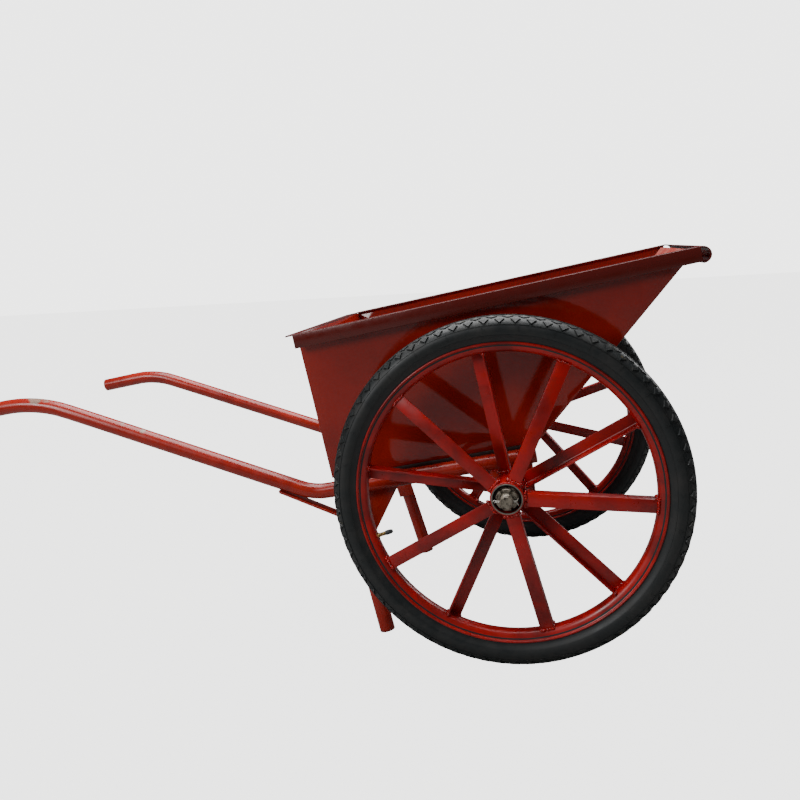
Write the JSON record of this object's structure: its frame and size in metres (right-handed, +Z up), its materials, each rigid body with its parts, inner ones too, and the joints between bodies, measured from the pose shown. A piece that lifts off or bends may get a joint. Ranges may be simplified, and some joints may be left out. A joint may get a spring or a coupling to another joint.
{
  "type": "two-wheeled hand cart",
  "caption": "Builder's hand cart with a welded sheet tray, bent tube handles, prop legs and spoked wheels on pneumatic tyres.",
  "frame": {"origin": "on the ground under the middle of the whole cart's box", "axes": "+X forward to the tipping end of the tray, +Y to the left wheel, +Z up"},
  "size_m": [1.5595, 0.8566, 0.765],
  "materials": {
    "tray_enamel": "glossy red enamel over steel sheet",
    "frame_enamel": "brushed-on red enamel over steel tube, worn",
    "wheel_enamel": "glossy red enamel over rolled steel and angle iron",
    "tyre_rubber": "moulded black rubber, dusty tread",
    "bare_steel": "bare greasy steel",
    "valve_brass": "brass valve stem"
  },
  "bodies": {
    "cart": {"axle": "bare_steel", "axle_bracket_left": "frame_enamel", "axle_bracket_right": "frame_enamel", "bearing_sleeve_left": "bare_steel", "bearing_sleeve_right": "bare_steel", "bed_strip_left": "frame_enamel", "bed_strip_right": "frame_enamel", "castle_nut_left": "bare_steel", "castle_nut_right": "bare_steel", "front_lip": "tray_enamel", "handle_tube_left": "frame_enamel", "handle_tube_right": "frame_enamel", "leg_gusset_left": "frame_enamel", "leg_gusset_right": "frame_enamel", "leg_left": "frame_enamel", "leg_right": "frame_enamel", "leg_strut_left": "frame_enamel", "leg_strut_right": "frame_enamel", "rim_angle_left": "tray_enamel", "rim_angle_rear": "tray_enamel", "rim_angle_right": "tray_enamel", "split_pin_left": "bare_steel", "split_pin_right": "bare_steel", "tray_floor": "tray_enamel", "tray_front_slope": "tray_enamel", "tray_rear_wall": "tray_enamel", "tray_side_left": "tray_enamel", "tray_side_right": "tray_enamel"},
    "wheel_right": {"bearing_inner_right": "bare_steel", "bearing_outer_right": "bare_steel", "hub_right": "wheel_enamel", "rim_right": "wheel_enamel", "spoke_01_right": "wheel_enamel", "spoke_02_right": "wheel_enamel", "spoke_03_right": "wheel_enamel", "spoke_04_right": "wheel_enamel", "spoke_05_right": "wheel_enamel", "spoke_06_right": "wheel_enamel", "spoke_07_right": "wheel_enamel", "spoke_08_right": "wheel_enamel", "spoke_09_right": "wheel_enamel", "spoke_10_right": "wheel_enamel", "tyre_right": "tyre_rubber", "valve_right": "valve_brass"},
    "wheel_left": {"bearing_inner_left": "bare_steel", "bearing_outer_left": "bare_steel", "hub_left": "wheel_enamel", "rim_left": "wheel_enamel", "spoke_01_left": "wheel_enamel", "spoke_02_left": "wheel_enamel", "spoke_03_left": "wheel_enamel", "spoke_04_left": "wheel_enamel", "spoke_05_left": "wheel_enamel", "spoke_06_left": "wheel_enamel", "spoke_07_left": "wheel_enamel", "spoke_08_left": "wheel_enamel", "spoke_09_left": "wheel_enamel", "spoke_10_left": "wheel_enamel", "tyre_left": "tyre_rubber", "valve_left": "valve_brass"}
  },
  "joints": [
    {"name": "wheel_right_spin", "type": "hinge", "parent": "cart", "child": "wheel_right", "pos_m": [0.404, -0.36225, 0.3335], "axis": [0, 1, 0], "continuous": true},
    {"name": "wheel_left_spin", "type": "hinge", "parent": "cart", "child": "wheel_left", "pos_m": [0.404, 0.36225, 0.3335], "axis": [0, 1, 0], "continuous": true}
  ]
}
